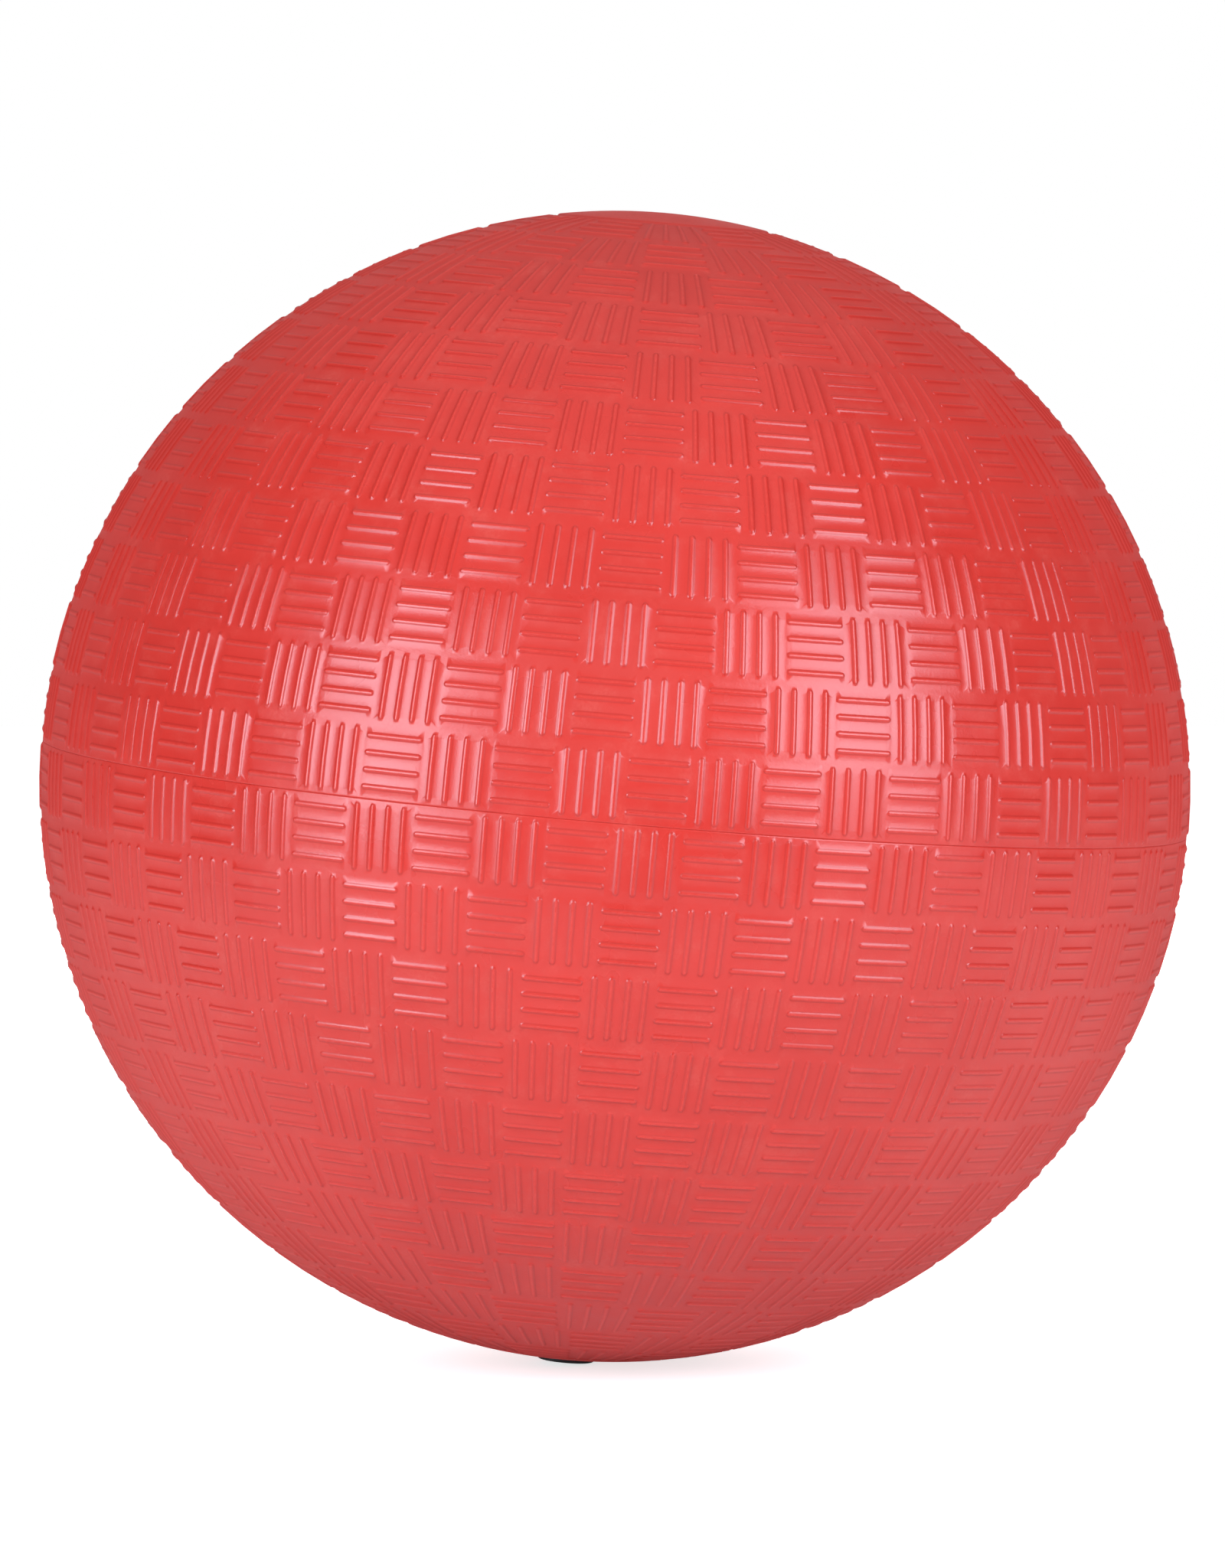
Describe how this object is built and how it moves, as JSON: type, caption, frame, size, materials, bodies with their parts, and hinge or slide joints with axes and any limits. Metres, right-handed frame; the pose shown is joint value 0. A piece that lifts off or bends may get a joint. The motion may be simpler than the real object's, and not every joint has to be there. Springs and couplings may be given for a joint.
{
  "type": "playground rubber ball",
  "caption": "Hollow textured rubber ball for kicking, bouncing and catching games, with a self-sealing plug valve for an inflating needle.",
  "frame": {"origin": "centre of the ball", "axes": "+Z along the valve's axis, away from the valve, so the valve is at the bottom; X and Y on the equatorial seam"},
  "size_m": [0.216, 0.216, 0.217],
  "materials": {
    "cover_rubber": "saturated red moulded rubber, satin, with raised ribs in a basket-weave pattern",
    "bladder_rubber": "black butyl sheet, dull",
    "valve_housing_rubber": "black moulded rubber, satin",
    "valve_insert_rubber": "soft black rubber, dull, slightly greasy"
  },
  "bodies": {
    "ball": {"cover_upper_half": "cover_rubber", "cover_lower_half": "cover_rubber", "bladder_gore_1": "bladder_rubber", "bladder_gore_2": "bladder_rubber", "bladder_gore_3": "bladder_rubber", "bladder_gore_4": "bladder_rubber", "pole_patch": "bladder_rubber", "valve_patch": "bladder_rubber", "valve_housing": "valve_housing_rubber"},
    "insert": {"valve_insert": "valve_insert_rubber"}
  },
  "joints": [
    {"name": "insert_pull", "type": "slide", "parent": "ball", "child": "insert", "axis": [0, 0, -1], "range_m": [0, 0.026]}
  ]
}
